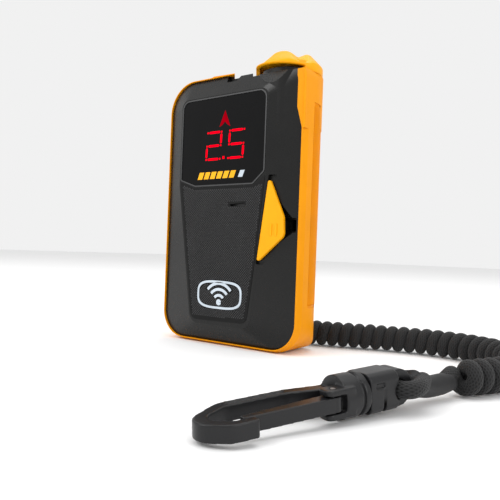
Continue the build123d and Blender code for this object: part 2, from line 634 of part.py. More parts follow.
with BuildPart() as battery_door:
    add(slab(rect_points(-DOOR_HALF, DOOR_BOTTOM, DOOR_HALF, 69.9), [2, 2, 0.5, 0.5], 12.05, BACK_Y))
    add(rod(0, 9.9, SCREW_Z, 3.5, 3.0, (0, 1, 0)))
    add(rod(-8.0, HINGE_Y, HINGE_Z, 1.05, 16.0, (1, 0, 0)))
    add(block(-8.0, HINGE_Y - 0.3, 69.5, 8.0, BACK_Y, HINGE_Z))
    add(rod(-10, HINGE_Y, HINGE_Z, PIN_R + FIT, 20.0, (1, 0, 0)), mode=Mode.SUBTRACT)
    add(rod(0, 5, SCREW_Z, 1.3, 12, (0, 1, 0)), mode=Mode.SUBTRACT)
    add(rod(0, 11.2, SCREW_Z, 3.1, 5, (0, 1, 0)), mode=Mode.SUBTRACT)
    # moulded grip ribs
    for k in range(5):
        with Locations((0, BACK_Y, 26 + 3.2 * k)):
            Box(20 - 2.4 * k, 0.5, 1.1)
save(battery_door, "battery_door")

with BuildPart() as door_seal:
    add(slab(rect_points(-18.4, 18.9, 18.4, 68.4), [1.5] * 4, 11.3, 11.9)
        - slab(rect_points(-17.6, 19.6, 17.6, 67.6), [1.0] * 4, 11, 12.5))
save(door_seal, "door_seal")

with BuildPart() as door_hinge_pin:
    add(rod(-12.4, HINGE_Y, HINGE_Z, PIN_R, 24.8, (1, 0, 0)))
save(door_hinge_pin, "door_hinge_pin")

with BuildPart() as door_screw:
    add(rod(0, 11.3, SCREW_Z, 3.0, 1.8, (0, 1, 0)))
    add(rod(0, 6.4, SCREW_Z, 1.2, 5.2, (0, 1, 0)))
    add(block(-4, 12.3, SCREW_Z - 0.5, 4, 14, SCREW_Z + 0.5), mode=Mode.SUBTRACT)
save(door_screw, "door_screw")

# ---- Leash: anchor, curly cord, straight tail ----------------------------
eye = Vector(*CLIP_ORIGIN)
axis = Vector(*CLIP_AXIS).normalized()
tail_end = eye - axis * 2.4
TAIL_ROUTE = [
    (98.0, -26.5, COIL_Z), (94.9, -32.4, 4.3), (92.8, -38.6, 3.6), (91.6, -44.2, 5.0),
    (tail_end.X, tail_end.Y, tail_end.Z),
]


def bend_radii(route):
    """Arc radius at each inner point: 0.45 of the shorter run over the tangent of half the turn."""
    spots = [Vector(*p) for p in route]
    radii = []
    for before, here, after in zip(spots, spots[1:], spots[2:]):
        run_in, run_out = here - before, after - here
        half_turn = math.radians(run_in.get_angle(run_out)) / 2
        radii.append(0.45 * min(run_in.length, run_out.length) / math.tan(half_turn))
    return radii


def cord_tube(route, diameter):
    """Round tube along straight runs joined by tangent arcs."""
    with BuildLine() as line:
        FilletPolyline(*route, radius=bend_radii(route))
    path = line.wire()
    with BuildSketch(Plane(origin=path @ 0, z_dir=path % 0)) as section:
        Circle(diameter / 2)
    with BuildPart() as tube:
        sweep(section.sketch, path=path)
    print("bend radii", [round(r, 1) for r in bend_radii(route)], "length", round(path.length, 1))
    ideal = math.pi * diameter**2 / 4 * path.length
    print("volume against section times length", round(tube.part.volume / ideal, 4))
    return tube.part


with BuildPart() as leash_coil:
    add(cord_tube(COIL_ROUTE, COIL_OD))
save(leash_coil, "leash_coil")

with BuildPart() as leash_lead:
    add(rod(LEAD_X, LEAD_Y, COIL_Z, CORD / 2, ANCHOR_Z + 1.2 - COIL_Z, (0, 0, 1)))
    add(leash_coil.part, mode=Mode.SUBTRACT)
save(leash_lead, "leash_lead")

# ---- Swivel clip, in its own frame: x from the eye to the nose, y across --
up_ref = Vector(0, 0, 1) - axis * axis.Z
clip_plane = Plane(origin=CLIP_ORIGIN, x_dir=axis, z_dir=up_ref)
POST_R = 1.7
COLLAR_R = 5.3
COLLAR_FROM = 13.4
NOSE = 60.0
HOOK_HALF = 1.9  # half thickness of the hook
GATE_PIN = (23.4, 3.1)
GATE_PIN_R = 0.6


def along(x0, x1, radius):
    """Round bar along the clip's axis, in the clip's frame."""
    with BuildPart(Plane(origin=(x0, 0, 0), z_dir=(1, 0, 0))) as made:
        Cylinder(radius, x1 - x0, align=(Align.CENTER, Align.CENTER, Align.MIN))
    return made.part


def plate(points, radii, low, high):
    """Flat plate with one outline, in the clip's frame."""
    with BuildPart() as made:
        extrude(outline(Plane.XY.offset(low), points, radii), amount=high - low)
    return made.part


with BuildPart() as clip_swivel:
    add(block(4.0, -4.6, -4.9, 13.1, 4.6, 4.9))
    fillet(clip_swivel.edges().filter_by(Axis.X), 2.2)
    add(rod(2.4, -2.9, 0, 4.6, 5.8, (0, 1, 0)))
    add(rod(2.6, -6, -0.3, 2.5, 12, (0, 1, 0)), mode=Mode.SUBTRACT)
    add(along(8.2, 9.0, 6) - along(8.0, 9.2, 4.5) & block(7, -6, -6, 10, 6, 1.2), mode=Mode.SUBTRACT)
    add(block(8.6, 4.1, 1.4, 11.4, 6, 2.6), mode=Mode.SUBTRACT)
    add(along(13.1, 17.4, POST_R))
    add(along(17.0, 18.2, 2.5))


def place_clip(built, name):
    """Write a clip piece after moving it from the clip's frame to the leash's end."""
    placed = clip_plane.location * built.part
    placed.label = name
    export_step(placed, f"parts/{name}.step")


place_clip(clip_swivel, "clip_swivel")

with BuildPart() as clip_hook:
    add(along(COLLAR_FROM, COLLAR_FROM + 1.7, COLLAR_R))
    add(along(COLLAR_FROM, COLLAR_FROM + 3.0, 4.6))
    add(along(COLLAR_FROM + 2.5, 20.6, COLLAR_R))
    # spine, nose and the short return that the gate closes on
    add(plate([(17, -4.6), (30, -7.4), (48, -7.4), (NOSE, 0.6), (52, 7.4), (45.4, 7.4), (45.4, 4.9),
               (50, 4.9), (55.6, 0.4), (47, -4.4), (30, -4.4), (24, -2.2), (21, -1.4), (17, -1.4)],
              [0.4, 9, 9, 4.5, 6, 0.5, 0.5, 2.2, 2.6, 5, 5, 2, 0.5, 0.4], -HOOK_HALF, HOOK_HALF))
    # ears for the gate pin
    add(plate([(18, 0.8), (26.2, 0.8), (26.2, 5.1), (18, 5.1)], [0.3, 1.5, 1.5, 0.3], -3.4, 3.4))
    add(block(20.8, 0.2, -HOOK_HALF - 0.1, 28, 6, HOOK_HALF + 0.1), mode=Mode.SUBTRACT)
    add(along(COLLAR_FROM - 1, 16.8, POST_R + FIT), mode=Mode.SUBTRACT)
    add(along(16.7, 18.5, 2.8), mode=Mode.SUBTRACT)
    add(rod(GATE_PIN[0], GATE_PIN[1], -3.4, GATE_PIN_R, 6.8, (0, 0, 1)), mode=Mode.SUBTRACT)
    # lightening groove along the spine
    groove = plate([(31, -6.5), (46, -6.5), (46, -5.3), (31, -5.3)], [0.5] * 4, HOOK_HALF - 0.5, 5)
    add(groove, mode=Mode.SUBTRACT)
place_clip(clip_hook, "clip_hook")

with BuildPart() as clip_gate:
    add(plate([(GATE_PIN[0], 1.2), (47.6, 2.6), (47.6, 4.5), (GATE_PIN[0], 5.0)], [0.9, 0.6, 0.6, 0.9],
              -HOOK_HALF + 0.15, HOOK_HALF - 0.15))
    add(rod(GATE_PIN[0], GATE_PIN[1], -HOOK_HALF + 0.15, 1.95, 2 * HOOK_HALF - 0.3, (0, 0, 1)))
    add(rod(GATE_PIN[0], GATE_PIN[1], -4, GATE_PIN_R + FIT, 8, (0, 0, 1)), mode=Mode.SUBTRACT)
    add(rod(GATE_PIN[0], GATE_PIN[1], -0.7, 1.45, 1.4, (0, 0, 1)), mode=Mode.SUBTRACT)
place_clip(clip_gate, "clip_gate")

with BuildPart() as gate_pin:
    add(rod(GATE_PIN[0], GATE_PIN[1], -3.4, GATE_PIN_R, 6.8, (0, 0, 1)))
place_clip(gate_pin, "gate_pin")

with BuildPart() as gate_spring:
    add(rod(GATE_PIN[0], GATE_PIN[1], -0.5, 1.15, 1.0, (0, 0, 1)))
    add(rod(GATE_PIN[0], GATE_PIN[1], -4, GATE_PIN_R, 8, (0, 0, 1)), mode=Mode.SUBTRACT)
place_clip(gate_spring, "gate_spring")

with BuildPart() as leash_tail:
    add(cord_tube(TAIL_ROUTE, CORD))
    add(leash_coil.part, mode=Mode.SUBTRACT)
    add(clip_plane.location * clip_swivel.part, mode=Mode.SUBTRACT)
save(leash_tail, "leash_tail")
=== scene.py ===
import json
import math

import bmesh
import bpy
from mathutils import Matrix, Vector


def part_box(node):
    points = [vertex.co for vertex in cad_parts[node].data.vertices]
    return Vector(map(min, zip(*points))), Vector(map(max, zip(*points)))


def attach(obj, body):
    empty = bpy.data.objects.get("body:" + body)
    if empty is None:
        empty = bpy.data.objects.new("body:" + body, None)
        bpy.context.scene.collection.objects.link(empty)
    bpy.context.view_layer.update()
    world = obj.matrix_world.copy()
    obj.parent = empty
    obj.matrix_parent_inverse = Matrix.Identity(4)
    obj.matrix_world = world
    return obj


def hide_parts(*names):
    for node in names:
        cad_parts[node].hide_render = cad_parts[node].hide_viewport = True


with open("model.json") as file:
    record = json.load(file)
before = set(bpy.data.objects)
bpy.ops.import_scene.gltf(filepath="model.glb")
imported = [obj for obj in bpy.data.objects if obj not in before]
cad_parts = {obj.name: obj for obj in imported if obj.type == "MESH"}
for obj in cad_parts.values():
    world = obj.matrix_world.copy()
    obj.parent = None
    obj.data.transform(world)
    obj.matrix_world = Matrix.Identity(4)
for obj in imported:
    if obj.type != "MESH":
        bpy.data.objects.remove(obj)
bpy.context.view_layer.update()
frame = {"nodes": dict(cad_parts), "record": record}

MM = 0.001
UP = Vector((0, 0, 1))
nodes = frame["nodes"]

# ---- Camera --------------------------------------------------------------
AZIMUTH = math.radians(35.858)
ELEVATION = math.radians(-0.262)
ROLL = math.radians(2.165)
CAMERA_AT = Vector((0.14003, -0.18703, 0.03854))
LENS = 39.69
SENSOR_WIDTH = 36
NEAREST = 0.01  # nothing closer to the camera is drawn


def look_matrix(azimuth, elevation, roll, at):
    """Placement of a camera that looks along the azimuth and elevation, turned about its line of sight."""
    back = Vector((math.sin(azimuth) * math.cos(elevation),
                   -math.cos(azimuth) * math.cos(elevation), math.sin(elevation)))
    right = Vector((math.cos(azimuth), math.sin(azimuth), 0))
    up = back.cross(right)
    across = right * math.cos(roll) + up * math.sin(roll)
    over = up * math.cos(roll) - right * math.sin(roll)
    turned = Matrix((across, over, back)).transposed().to_4x4()
    return Matrix.Translation(at) @ turned


bpy.context.scene.view_settings.view_transform = "Standard"
camera = bpy.data.objects.new("camera", bpy.data.cameras.new("camera"))
bpy.context.collection.objects.link(camera)
camera.data.lens = LENS
camera.data.sensor_width = SENSOR_WIDTH
camera.data.clip_start = NEAREST
camera.matrix_world = look_matrix(AZIMUTH, ELEVATION, ROLL, CAMERA_AT)
bpy.context.scene.camera = camera

# ---- Leash, in metres: routes are centre lines ---------------------------
CORD_D = 4.4 * MM
COIL_OD = 10.5 * MM
HELIX_R = (COIL_OD - CORD_D) / 2
HELIX_PITCH = 4.5 * MM
TURN_POINTS = 16
COIL_Z = COIL_OD / 2 + 0.15 * MM
SLEEVE_R = 2.9 * MM
COIL_ROUTE = [
    (0.0190, 0.0199, COIL_Z), (0.0345, 0.0246, COIL_Z), (0.0515, 0.0314, COIL_Z),
    (0.0700, 0.0358, COIL_Z), (0.0885, 0.0336, COIL_Z), (0.1030, 0.0230, COIL_Z),
    (0.1095, 0.0065, COIL_Z), (0.1065, -0.0110, COIL_Z), (0.0980, -0.0265, COIL_Z),
]
TAIL_ROUTE = [(0.0949, -0.0324, 0.0043), (0.0928, -0.0386, 0.0038), (0.0916, -0.0442, 0.0052)]
CLIP_EYE = Vector((0.0895, -0.0515, 0.0069))
CLIP_AXIS = Vector((-0.39, -0.92, -0.072)).normalized()
LEAD_X = 0.0216
LEAD_TOP = 0.0141
LEAD_BOTTOM = 0.0118
LEAD_BEND = (-0.0004, 0.0002, 0.0097)  # where the lead turns back over the coil, aside from its line
COIL_SKIP = 2.4 * MM  # stretch of the coil's line before the first turn
COIL_SWAY = ((0.025, 0.143, 0), (0.02, 0.031, 1))  # share of the radius, angle for each point, phase
CAP_RISE = 0.12 * CORD_D
TUBE_SIDES = 20
CORD_STEP = 0.42 * MM
EYE_DEPTH = 2.6 * MM  # how far before the eye the cord's line stops
EASE_RAMP = 14  # points over which the easing fades in and out
LEAD_EASE = 26  # points eased where the lead meets the coil, and passes over them
LEAD_ROUNDS = 24
TAIL_EASE = 84  # the same where the coil runs out to the clip
TAIL_ROUNDS = 40


def new_mesh_object(name, verts, faces, uvs=None):
    """Linked mesh object; uvs holds one pair for each vertex."""
    mesh = bpy.data.meshes.new(name)
    mesh.from_pydata([tuple(v) for v in verts], [], faces)
    if uvs:
        layer = mesh.uv_layers.new(name="along")
        for poly in mesh.polygons:
            for loop_index, vertex_index in zip(poly.loop_indices, poly.vertices):
                layer.data[loop_index].uv = uvs[vertex_index]
    mesh.update()
    made = bpy.data.objects.new(name, mesh)
    bpy.context.collection.objects.link(made)
    return made


def smooth_faces(made):
    made.data.polygons.foreach_set("use_smooth", [True] * len(made.data.polygons))


def face_outwards(made):
    """Turn every face of a closed mesh to the outside."""
    mesh = bmesh.new()
    mesh.from_mesh(made.data)
    bmesh.ops.recalc_face_normals(mesh, faces=mesh.faces)
    mesh.to_mesh(made.data)
    mesh.free()


def nurbs(name, points, resolution=12):
    """Open NURBS curve object with these control points."""
    curve = bpy.data.curves.new(name, "CURVE")
    curve.dimensions = "3D"
    curve.resolution_u = resolution
    spline = curve.splines.new("NURBS")
    spline.points.add(len(points) - 1)
    for slot, point in zip(spline.points, points):
        slot.co = (*point, 1)
    spline.order_u = 3
    spline.use_endpoint_u = True
    made = bpy.data.objects.new(name, curve)
    bpy.context.collection.objects.link(made)
    return made


def line_of(name, points, resolution=12):
    """Points along the smooth line through a route."""
    guide = nurbs(name, points, resolution)
    mesh = bpy.data.meshes.new_from_object(guide)
    line = [v.co.copy() for v in mesh.vertices]
    bpy.data.objects.remove(guide)
    bpy.data.meshes.remove(mesh)
    return line


def resample(line, step):
    """Evenly spaced points and unit tangents along a polyline."""
    out, tangents, carried = [line[0].copy()], [(line[1] - line[0]).normalized()], 0.0
    for a, b in zip(line, line[1:]):
        span = (b - a).length
        if span == 0:
            continue
        direction = (b - a) / span
        along = step - carried
        while along <= span:
            out.append(a + direction * along)
            tangents.append(direction)
            along += step
        carried = span - (along - step)
    return out, tangents


def helix_points(line, start_angle, skip):
    """Centre line of the wound cord round the coil's axis line."""
    step = HELIX_PITCH / TURN_POINTS
    axis_points, tangents = resample(line, step)
    first = round(skip / step)
    axis_points, tangents = axis_points[first:], tangents[first:]
    out = []
    for k, (point, tangent) in enumerate(zip(axis_points, tangents)):
        side = UP.cross(tangent).normalized()
        up = tangent.cross(side)
        angle = start_angle - math.tau * k / TURN_POINTS
        sway = sum((share * math.sin(k * rate + phase) for share, rate, phase in COIL_SWAY), 1)
        radius = HELIX_R * min(sway, 1.0)
        out.append(point + (side * math.cos(angle) + up * math.sin(angle)) * radius)
    return out


def tube_mesh(name, line, radius_at, sides):
    """Mesh tube round a line; radius_at(distance, angle) gives its surface."""
    tangents = []
    for k in range(len(line)):
        before, after = line[max(k - 1, 0)], line[min(k + 1, len(line) - 1)]
        tangents.append((after - before).normalized())
    normal = tangents[0].orthogonal().normalized()
    verts, uvs, faces, distance = [], [], [], 0.0
    for k, (point, tangent) in enumerate(zip(line, tangents)):
        if k:
            distance += (point - line[k - 1]).length
        normal = (normal - tangent * normal.dot(tangent)).normalized()
        binormal = tangent.cross(normal)
        for s in range(sides):
            angle = math.tau * s / sides
            reach = radius_at(distance, angle)
            verts.append(point + (normal * math.cos(angle) + binormal * math.sin(angle)) * reach)
            uvs.append((s / sides, distance))
    for k in range(len(line) - 1):
        for s in range(sides):
            a, b = k * sides + s, k * sides + (s + 1) % sides
            faces.append((a, b, b + sides, a + sides))
    for ring, outwards in ((0, -1), (len(line) - 1, 1)):
        centre = len(verts)
        verts.append(line[ring] + tangents[ring] * (CAP_RISE * outwards))
        uvs.append((0.5, 0.0))
        for s in range(sides):
            a, b = ring * sides + s, ring * sides + (s + 1) % sides
            faces.append((a, b, centre) if outwards > 0 else (b, a, centre))
    made = new_mesh_object(name, verts, faces, uvs)
    smooth_faces(made)
    return made


def length_of(line):
    return sum((b - a).length for a, b in zip(line, line[1:]))


def cord_radius(distance, angle):
    return CORD_D / 2


def eased(line, first, last, rounds):
    """Line whose points between first and last are averaged into a gentler bend, less near the ends."""
    points = list(line)
    for _ in range(rounds):
        middle = []
        for k in range(first, last + 1):
            share = 0.5 * min(1.0, (k - first + 1) / EASE_RAMP, (last + 1 - k) / EASE_RAMP)
            middle.append(points[k].lerp((points[k - 1] + points[k + 1]) / 2, share))
        points[first:last + 1] = middle
    return points


coil_axis = line_of("coil_axis", COIL_ROUTE)
wound = helix_points(coil_axis, math.pi / 2, COIL_SKIP)
lead_y = COIL_ROUTE[0][1] - HELIX_R
lead = [Vector((LEAD_X, lead_y, LEAD_TOP)), Vector((LEAD_X, lead_y, LEAD_BOTTOM))]
lead.append(Vector((LEAD_X + LEAD_BEND[0], lead_y + LEAD_BEND[1], LEAD_BEND[2])))
tail_end = CLIP_EYE - CLIP_AXIS * EYE_DEPTH
cord_controls = lead + wound + [Vector(p) for p in TAIL_ROUTE] + [tail_end]
cord_line, _ = resample(line_of("cord_line", cord_controls, 3), CORD_STEP)
cord_line = eased(cord_line, 1, LEAD_EASE, LEAD_ROUNDS)
cord_line = eased(cord_line, len(cord_line) - TAIL_EASE, len(cord_line) - 2, TAIL_ROUNDS)
leash = tube_mesh("leash_cord", cord_line, cord_radius, TUBE_SIDES)

# ---- End loop through the swivel's eye, and the sleeve over the doubled end
clip_up = (UP - CLIP_AXIS * CLIP_AXIS.z).normalized()
clip_side = clip_up.cross(CLIP_AXIS)


def in_clip(along, across, up):
    """Point in the clip's frame, in millimetres, brought to the shared frame."""
    return CLIP_EYE + (CLIP_AXIS * along + clip_side * across + clip_up * up) * MM


# half of the loop, in the clip's frame, up to the bend inside the eye
LOOP_HALF = [(-8.0, 1.2, -0.2), (-5.6, 3.0, -0.3), (-2.2, 5.2, -0.3), (1.4, 5.5, -0.3), (2.9, 3.4, -0.3)]
LOOP_BEND = (2.7, 0, -0.3)
loop_points = [in_clip(*p) for p in LOOP_HALF] + [in_clip(*LOOP_BEND)]
loop_points += [in_clip(u, -v, w) for u, v, w in reversed(LOOP_HALF)]
eye_loop = tube_mesh("eye_loop", line_of("loop_line", loop_points, 6), cord_radius, TUBE_SIDES)

SLEEVE_SWELL = 0.16  # share of the radius, across the loop's two strands
SWELL_REACH = 4.0 * MM
SLEEVE_MOUTH = 0.80  # share of the radius where the cord comes in
MOUTH_REACH = 4.5 * MM
SLEEVE_SIDES = 28
SLEEVE_END = (-4.6, 0, -0.1)  # in the clip's frame
SLEEVE_ROUTE = [(0.0966, -0.0290, 0.0048), (0.0949, -0.0324, 0.0045), (0.0928, -0.0386, 0.0042),
                (0.0916, -0.0442, 0.0054)]


def sleeve_radius(distance, angle):
    """Sleeve that swells where the loop's two strands run into it."""
    swell = math.exp(-((sleeve_length - distance) / SWELL_REACH) ** 2)
    start = min(1.0, SLEEVE_MOUTH + distance / MOUTH_REACH * (1 - SLEEVE_MOUTH))
    return SLEEVE_R * start * (1 + SLEEVE_SWELL * swell * math.cos(angle) ** 2)


sleeve_line = line_of("sleeve_line", [Vector(p) for p in SLEEVE_ROUTE] + [in_clip(*SLEEVE_END)], 8)
sleeve_length = length_of(sleeve_line)
sleeve = tube_mesh("leash_sleeve", sleeve_line, sleeve_radius, SLEEVE_SIDES)

for piece in (leash, eye_loop, sleeve):
    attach(piece, "root")
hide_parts("leash_coil", "leash_lead", "leash_tail")

# ---- Material helpers ----------------------------------------------------
TONE_SCALE = 90
GLOSS_SCALE = 320
SMOOTHEST = 0.02  # no surface is glossier than this roughness
STRANDS = 16
STRAND_PITCH = 1.25 * MM
WEAVE_DEPTH = 0.22 * MM


def node_material(name):
    """New node material with its tree and its Principled shader."""
    made = bpy.data.materials.new(name)
    made.use_nodes = True
    tree = made.node_tree
    return made, tree, tree.nodes["Principled BSDF"]


def add_node(tree, kind, **settings):
    """Shader node with its inputs and settings filled in by name."""
    made = tree.nodes.new(kind)
    for key, value in settings.items():
        if key in made.inputs:
            made.inputs[key].default_value = value
        else:
            setattr(made, key, value)
    return made


def noise(tree, scale, detail):
    """Noise fixed to the object."""
    made = add_node(tree, "ShaderNodeTexNoise", Scale=scale, Detail=detail)
    place = add_node(tree, "ShaderNodeTexCoord").outputs["Object"]
    tree.links.new(place, made.inputs["Vector"])
    return made.outputs["Fac"]


def math_node(tree, operation, *values):
    """Math node; each value is a number or another node's output."""
    made = add_node(tree, "ShaderNodeMath", operation=operation)
    for index, value in enumerate(values):
        if isinstance(value, (int, float)):
            made.inputs[index].default_value = value
        else:
            tree.links.new(value, made.inputs[index])
    return made.outputs[0]


def ramp(tree, factor, low, high, start=0.3, end=0.7):
    """Colour that runs from low to high as factor runs from start to end."""
    made = add_node(tree, "ShaderNodeValToRGB")
    made.color_ramp.elements[0].position = start
    made.color_ramp.elements[1].position = end
    made.color_ramp.elements[0].color = (*low, 1)
    made.color_ramp.elements[1].color = (*high, 1)
    tree.links.new(factor, made.inputs["Fac"])
    return made.outputs["Color"]


def bump(tree, shader, height, strength, distance):
    made = add_node(tree, "ShaderNodeBump")
    made.inputs["Strength"].default_value = strength
    made.inputs["Distance"].default_value = distance
    tree.links.new(height, made.inputs["Height"])
    tree.links.new(made.outputs["Normal"], shader.inputs["Normal"])


def scaled(color, factor):
    return tuple(c * factor for c in color)


def moulded(name, color, roughness, grain=2600, grain_depth=0.00002, spread=0.10, rough_spread=0.06,
            metallic=0.0, strength=0.5, shine=0.3):
    """Moulded plastic or rubber: fine spark-eroded grain, slight colour and gloss variation."""
    made, tree, shader = node_material(name)
    shader.inputs["Metallic"].default_value = metallic
    shader.inputs["Specular IOR Level"].default_value = shine
    tone = noise(tree, TONE_SCALE, 4)
    tree.links.new(ramp(tree, tone, scaled(color, 1 - spread), scaled(color, 1 + spread)),
                   shader.inputs["Base Color"])
    gloss = noise(tree, GLOSS_SCALE, 4)
    rough = add_node(tree, "ShaderNodeMapRange")
    rough.inputs["To Min"].default_value = max(roughness - rough_spread, SMOOTHEST)
    rough.inputs["To Max"].default_value = roughness + rough_spread
    tree.links.new(gloss, rough.inputs["Value"])
    tree.links.new(rough.outputs["Result"], shader.inputs["Roughness"])
    if grain:
        bump(tree, shader, noise(tree, grain, 2), strength, grain_depth)
    return made


def paint(obj, material):
    obj.data.materials.clear()
    obj.data.materials.append(material)


BLACK = moulded("black_satin", (0.0055, 0.0055, 0.0053), 0.28, shine=0.26)
ORANGE_RUBBER = moulded("orange_rubber", (0.74, 0.27, 0.0), 0.5, grain=3200, spread=0.04, shine=0.12)
ORANGE = moulded("orange_plastic", (0.82, 0.345, 0.0), 0.42, grain=3000, spread=0.04, shine=0.2)
FRAME_GREY = moulded("frame_satin", (0.042, 0.042, 0.043), 0.3, grain=0, shine=0.5)
GLOSS = moulded("smoked_window", (0.004, 0.004, 0.0042), 0.14, grain=0, rough_spread=0.02, shine=0.12)
# pips in a lighter grey than the panel's rubber they stand on: painted highlight on their tips
PIP_PAINTED_HIGHLIGHT = moulded("panel_pips", (0.034, 0.034, 0.035), 0.4, grain=0, shine=0.4)
LED_BLOCK = moulded("led_block", (0.2, 0.01, 0.01), 0.4, grain=0)
DARK = moulded("dark_matt", (0.0065, 0.0065, 0.0065), 0.6, shine=0.15)
CLIP = moulded("clip_nylon", (0.008, 0.008, 0.0088), 0.34, grain=1800, shine=0.3)
SEAL = moulded("seal_rubber", (0.02, 0.02, 0.02), 0.7)
STEEL = moulded("plated_steel", (0.55, 0.55, 0.55), 0.3, grain=4000, metallic=1.0, grain_depth=0.000008)
GREY = moulded("cast_grey", (0.30, 0.31, 0.33), 0.5, grain=2200)
BOARD = moulded("solder_mask", (0.01, 0.09, 0.035), 0.35, grain=1500)
CHIP = moulded("chip_black", (0.015, 0.015, 0.016), 0.45)
MESH = moulded("woven_mesh", (0.08, 0.08, 0.08), 0.4, grain=5000, metallic=0.8)
FERRITE = moulded("ferrite", (0.03, 0.03, 0.033), 0.6, grain=1200)
COPPER = moulded("enamelled_wire", (0.45, 0.16, 0.05), 0.35, grain=0, metallic=0.9)
JACKET = moulded("cell_jacket", (0.02, 0.06, 0.2), 0.3, grain=0)


def braided_cord(name):
    """Black woven cover: diagonal strands in both directions round the cord, with painted shade in the
    grooves between them.
    """
    made, tree, shader = node_material(name)
    uv = add_node(tree, "ShaderNodeUVMap", uv_map="along").outputs["UV"]
    split = add_node(tree, "ShaderNodeSeparateXYZ")
    tree.links.new(uv, split.inputs[0])
    around, along = split.outputs["X"], split.outputs["Y"]
    turn = math_node(tree, "MULTIPLY", around, STRANDS * math.tau)
    run = math_node(tree, "MULTIPLY", along, math.tau / STRAND_PITCH)
    one = math_node(tree, "SINE", math_node(tree, "ADD", turn, run))
    two = math_node(tree, "SINE", math_node(tree, "SUBTRACT", turn, run))
    weave = math_node(tree, "MAXIMUM", one, two)
    height = math_node(tree, "MULTIPLY", math_node(tree, "ADD", weave, 1.0), 0.5)
    # colour runs from near black in the grooves to dark grey on the strands' crowns: painted shade between
    # the strands
    tree.links.new(ramp(tree, height, (0.003, 0.003, 0.003), (0.016, 0.016, 0.0165), 0.25, 0.95),
                   shader.inputs["Base Color"])
    shader.inputs["Roughness"].default_value = 0.62
    shader.inputs["Specular IOR Level"].default_value = 0.2
    shader.inputs["Sheen Weight"].default_value = 0.06
    shader.inputs["Sheen Roughness"].default_value = 0.5
    bump(tree, shader, height, 0.8, WEAVE_DEPTH)
    return made


CORD = braided_cord("braided_cord")
SLEEVE = moulded("sleeve_rubber", (0.008, 0.008, 0.0085), 0.5, grain=1500)
for piece in (leash, eye_loop):
    paint(piece, CORD)
paint(sleeve, SLEEVE)

by_slot = {
    "black_shell": BLACK, "orange_rubber": ORANGE_RUBBER, "orange_plastic": ORANGE, "frame_grey": FRAME_GREY,
    "window": GLOSS, "led_red": LED_BLOCK, "panel_rubber": DARK, "dark_plastic": DARK, "steel": STEEL,
    "seal_rubber": SEAL,
    "board_green": BOARD, "chip_black": CHIP, "mesh_grey": MESH, "ferrite": FERRITE, "copper": COPPER,
    "cell_jacket": JACKET, "anchor_grey": GREY, "cord_black": CORD, "clip_plastic": CLIP,
}
slot_of = {part["node"]: part["material_slot"] for part in frame["record"]["subparts"]}
for node_name, node in nodes.items():
    paint(node, by_slot.get(slot_of[node_name], BLACK))

# ---- Flat pieces that face the front, in millimetres ---------------------
def plate_mesh(name, outlines, front_y, back_y):
    """One closed prism for each outline of (x, z) points."""
    verts, faces = [], []
    for outline in outlines:
        start, count = len(verts), len(outline)
        for y in (front_y, back_y):
            verts.extend(Vector((x, y, z)) * MM for x, z in outline)
        faces.append(tuple(range(start, start + count)))
        faces.append(tuple(reversed(range(start + count, start + 2 * count))))
        for k in range(count):
            after = (k + 1) % count
            faces.append((start + k, start + k + count, start + after + count, start + after))
    made = new_mesh_object(name, verts, faces)
    face_outwards(made)
    return made


def bar(a, b, half):
    """Stroke with pointed ends from a to b."""
    along = (b - a).normalized()
    across = Vector((-along.y, along.x)) * half
    inner_a, inner_b = a + along * half, b - along * half
    shape = [a, inner_a - across, inner_b - across, b, inner_b + across, inner_a + across]
    return [tuple(p) for p in shape]


def dot(x, z, half):
    """Square with its centre at (x, z)."""
    return [(x - half, z - half), (x + half, z - half), (x + half, z + half), (x - half, z + half)]


def slanted(x, z, wide, tall):
    """Block that leans to the right, with its lower left corner at (x, z)."""
    return [(x, z), (x + wide, z), (x + wide + MARK_SLANT, z + tall), (x + MARK_SLANT, z + tall)]


# ---- Display: lit arrow and two digits -----------------------------------
WINDOW_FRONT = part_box("display_window")[0][1] / MM
LIT_FRONT = WINDOW_FRONT - 0.03
LIT_BACK = WINDOW_FRONT + 0.05
DIGIT_WIDE, DIGIT_TALL, DIGIT_SLANT = 7.2, 11.0, 0.5
DIGIT_Z = 76.2
FIRST_X, SECOND_X = -9.6, 1.9
SEGMENT_GAP = 0.62  # from a corner of the digit to the stroke's end
SEGMENT_HALF = 0.48
JOINT_HALF = 0.36
POINT_X, POINT_Z, POINT_HALF = -0.5, 76.6, 0.55
ARROW = [(-0.35, 95.8), (-3.2, 89.2), (-1.6, 89.9), (-0.35, 91.2), (0.9, 89.9), (2.5, 89.0)]

# ends of each segment, as shares of the digit's width and height
SEGMENT_ENDS = {
    "a": ((0, 1), (1, 1)), "b": ((1, 1), (1, 0.5)), "c": ((1, 0.5), (1, 0)), "d": ((1, 0), (0, 0)),
    "e": ((0, 0), (0, 0.5)), "f": ((0, 0.5), (0, 1)), "g": ((0, 0.5), (1, 0.5)),
}
LIT_SEGMENTS = {"2": "abged", "5": "afgcd"}


def digit(character, left):
    """Seven-segment digit: its lit strokes and the square dots between them."""
    strokes, joints = [], []
    for segment in LIT_SEGMENTS[character]:
        a, b = (Vector((left + u * DIGIT_WIDE + v * DIGIT_SLANT, DIGIT_Z + v * DIGIT_TALL))
                for u, v in SEGMENT_ENDS[segment])
        gap = (b - a).normalized() * SEGMENT_GAP
        strokes.append(bar(a + gap, b - gap, SEGMENT_HALF))
        joints += [(round(a.x, 3), round(a.y, 3)), (round(b.x, 3), round(b.y, 3))]
    return strokes + [dot(x, z, JOINT_HALF) for x, z in sorted(set(joints))]


lit_shapes = digit("2", FIRST_X) + digit("5", SECOND_X) + [dot(POINT_X, POINT_Z, POINT_HALF)]
lit = plate_mesh("lit_digits", lit_shapes, LIT_FRONT, LIT_BACK)
lit_arrow = plate_mesh("lit_arrow", [ARROW], LIT_FRONT, LIT_BACK)

